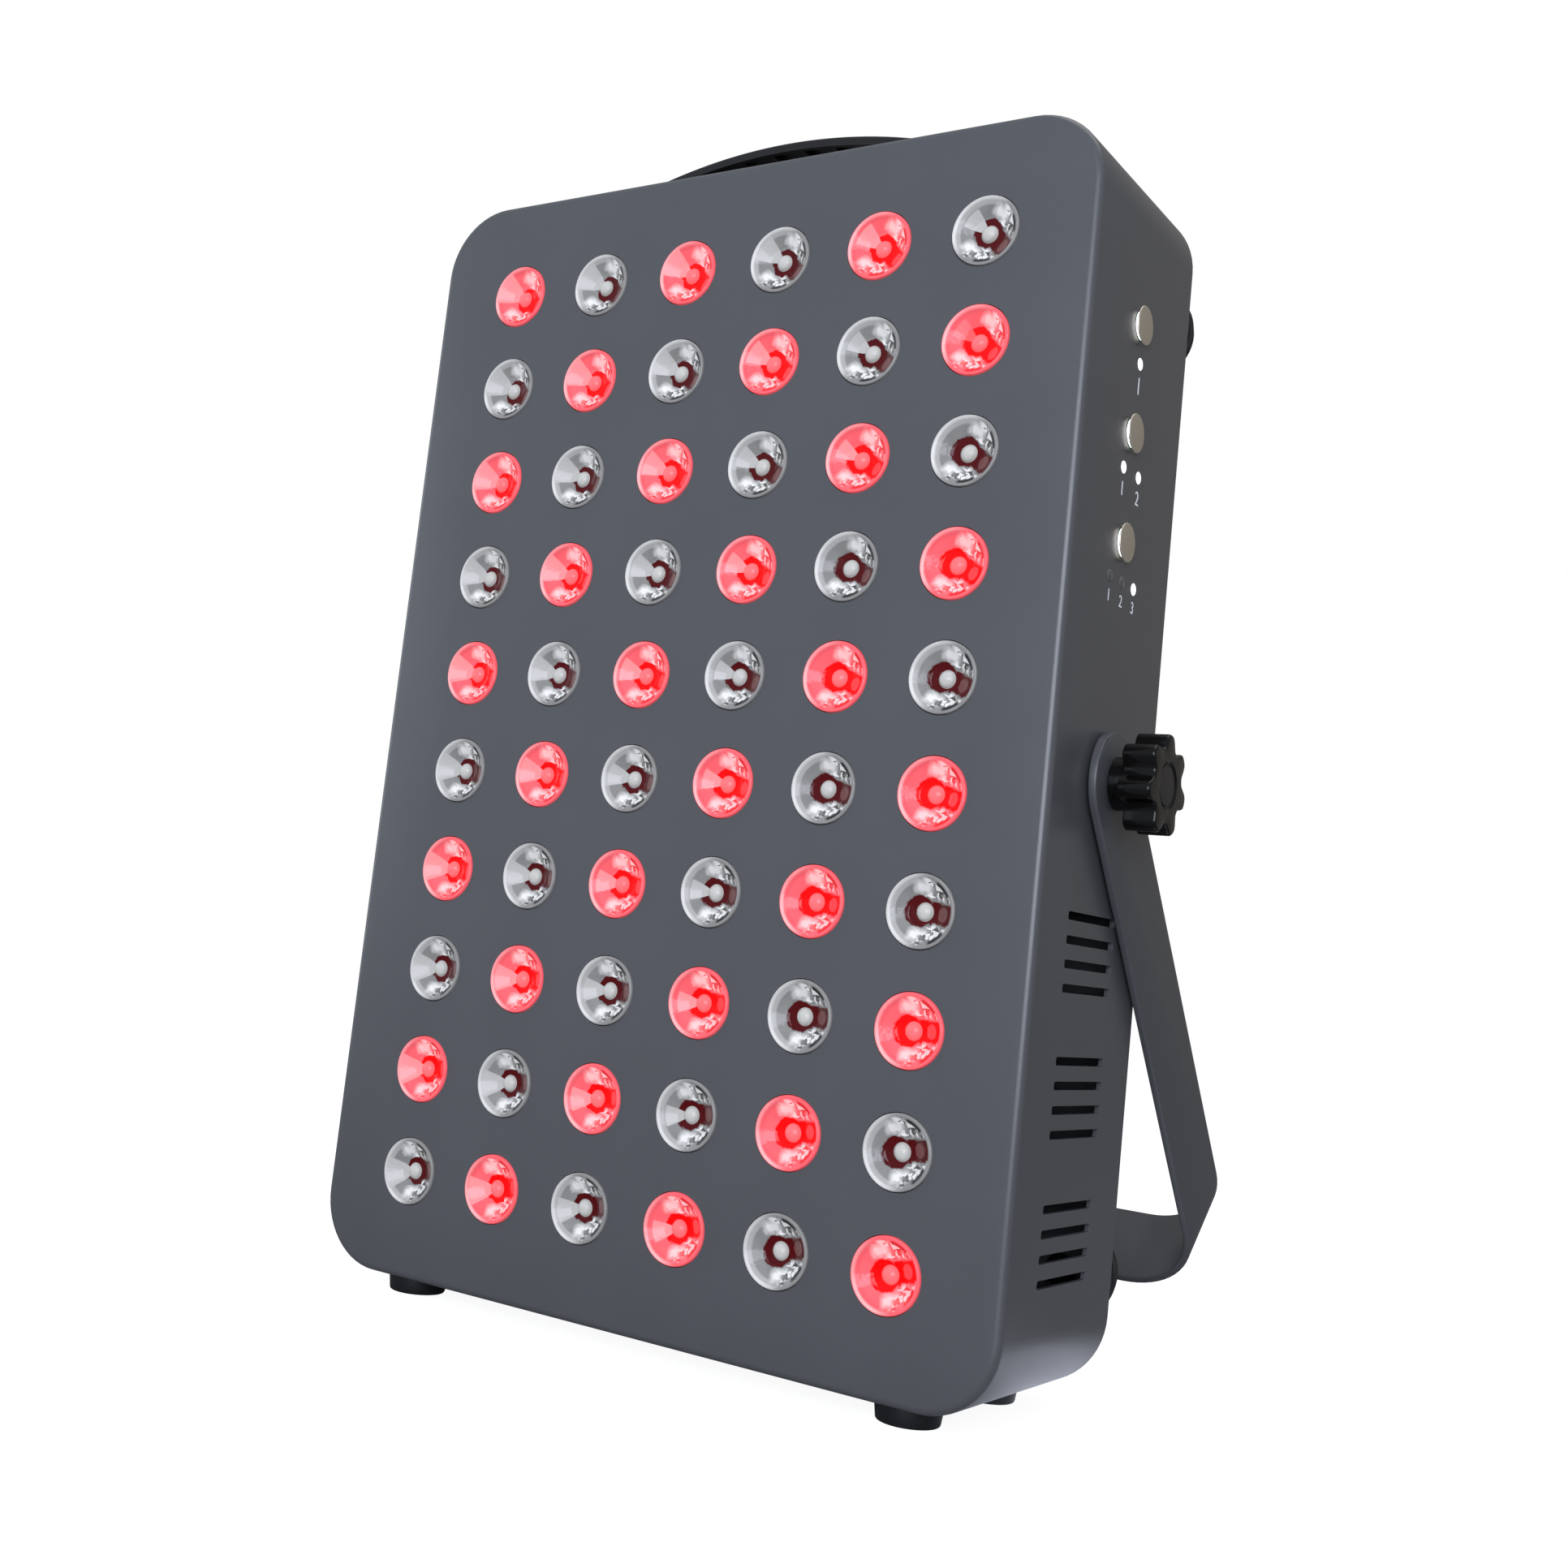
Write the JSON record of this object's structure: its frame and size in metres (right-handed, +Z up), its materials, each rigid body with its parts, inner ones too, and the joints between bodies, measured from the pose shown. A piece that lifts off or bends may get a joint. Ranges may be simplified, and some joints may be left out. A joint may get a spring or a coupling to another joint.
{
  "type": "light therapy panel",
  "caption": "Upright steel-cased red light panel with a grid of lens cups, strap handle, side push buttons, rubber feet and a U-shaped stand that tilts on side knobs.",
  "frame": {"origin": "on the floor under the middle of the whole object's box", "axes": "+Z up, +X to the right as seen from the lens side, +Y from the lens side to the back"},
  "size_m": [0.2346, 0.1424, 0.3203],
  "materials": {
    "case_powder_coat": "fine-textured dark grey powder coat, satin",
    "stand_powder_coat": "fine-textured dark grey powder coat, satin",
    "zinc_steel": "bright zinc plate",
    "lens_clear": "clear moulded lens plastic, polished",
    "sink_aluminium": "bare extruded aluminium",
    "board_green": "green solder mask over glass laminate",
    "button_metal": "dull warm grey metal, fine turned face",
    "lamp_white": "white translucent light pipe",
    "black_plastic": "black moulded plastic, semi-gloss",
    "nylon": "natural nylon",
    "black_rubber": "black moulded rubber, matt",
    "fan_plastic": "black glass-filled plastic, satin",
    "inlet_plastic": "black moulded plastic, satin"
  },
  "bodies": {
    "panel": {"front_housing": "case_powder_coat", "rear_cover": "case_powder_coat", "cover_screw_1": "zinc_steel", "cover_screw_2": "zinc_steel", "cover_screw_3": "zinc_steel", "cover_screw_4": "zinc_steel", "cover_screw_5": "zinc_steel", "cover_screw_6": "zinc_steel", "led_board": "lens_clear", "heat_sink": "sink_aluminium", "sink_post_upper_left": "zinc_steel", "sink_post_upper_right": "zinc_steel", "sink_post_lower_left": "zinc_steel", "sink_post_lower_right": "zinc_steel", "control_board": "board_green", "power_lamp": "lamp_white", "mode_lamp_1": "lamp_white", "mode_lamp_2": "lamp_white", "timer_lamp_1": "lamp_white", "timer_lamp_2": "lamp_white", "timer_lamp_3": "lamp_white", "pivot_washer_left": "nylon", "pivot_washer_right": "nylon", "pivot_nut_left": "zinc_steel", "pivot_nut_right": "zinc_steel", "foot_front_left": "black_rubber", "foot_front_right": "black_rubber", "foot_rear_left": "black_rubber", "foot_rear_right": "black_rubber", "bumper_upper_left": "black_rubber", "bumper_upper_right": "black_rubber", "bumper_lower_left": "black_rubber", "bumper_lower_right": "black_rubber", "handle": "black_plastic", "handle_screw_left": "zinc_steel", "handle_screw_right": "zinc_steel", "fan_frame_upper": "fan_plastic", "fan_frame_lower": "fan_plastic", "fan_screw_upper_1": "zinc_steel", "fan_screw_upper_2": "zinc_steel", "fan_screw_upper_3": "zinc_steel", "fan_screw_upper_4": "zinc_steel", "fan_screw_lower_1": "zinc_steel", "fan_screw_lower_2": "zinc_steel", "fan_screw_lower_3": "zinc_steel", "fan_screw_lower_4": "zinc_steel", "driver_case": "sink_aluminium", "power_inlet": "inlet_plastic", "switch_frame": "inlet_plastic"},
    "stand": {"stand_bracket": "stand_powder_coat"},
    "knob_left": {"knob_left": "black_plastic"},
    "knob_right": {"knob_right": "black_plastic"},
    "power_button": {"power_button": "button_metal"},
    "mode_button": {"mode_button": "button_metal"},
    "timer_button": {"timer_button": "button_metal"},
    "fan_rotor_upper": {"fan_rotor_upper": "fan_plastic"},
    "fan_rotor_lower": {"fan_rotor_lower": "fan_plastic"},
    "switch_rocker": {"switch_rocker": "inlet_plastic"}
  },
  "joints": [
    {"name": "stand_tilt", "type": "hinge", "parent": "panel", "child": "stand", "pos_m": [0, -0.03952, 0.1495], "axis": [1, 0, 0], "range_deg": [-199, 120]},
    {"name": "knob_left_turn", "type": "hinge", "parent": "panel", "child": "knob_left", "pos_m": [-0.10145, -0.03952, 0.1495], "axis": [-1, 0, 0], "range_deg": [0, 360]},
    {"name": "knob_right_turn", "type": "hinge", "parent": "panel", "child": "knob_right", "pos_m": [0.10145, -0.03952, 0.1495], "axis": [1, 0, 0], "range_deg": [0, 360]},
    {"name": "power_button_press", "type": "slide", "parent": "panel", "child": "power_button", "axis": [-1, 0, 0], "range_m": [0, 0.0007], "stiffness_N_per_m": 1500, "springref_m": -0.0005},
    {"name": "mode_button_press", "type": "slide", "parent": "panel", "child": "mode_button", "axis": [-1, 0, 0], "range_m": [0, 0.0007], "stiffness_N_per_m": 1500, "springref_m": -0.0005},
    {"name": "timer_button_press", "type": "slide", "parent": "panel", "child": "timer_button", "axis": [-1, 0, 0], "range_m": [0, 0.0007], "stiffness_N_per_m": 1500, "springref_m": -0.0005},
    {"name": "fan_rotor_upper_spin", "type": "hinge", "parent": "panel", "child": "fan_rotor_upper", "pos_m": [0, -0.01312, 0.2273], "axis": [0, 1, 0], "continuous": true},
    {"name": "fan_rotor_lower_spin", "type": "hinge", "parent": "panel", "child": "fan_rotor_lower", "pos_m": [0, -0.01312, 0.1393], "axis": [0, 1, 0], "continuous": true},
    {"name": "rocker_tilt", "type": "hinge", "parent": "panel", "child": "switch_rocker", "pos_m": [0.023, -0.00702, 0.0621], "axis": [1, 0, 0], "range_deg": [-16, 0]}
  ]
}
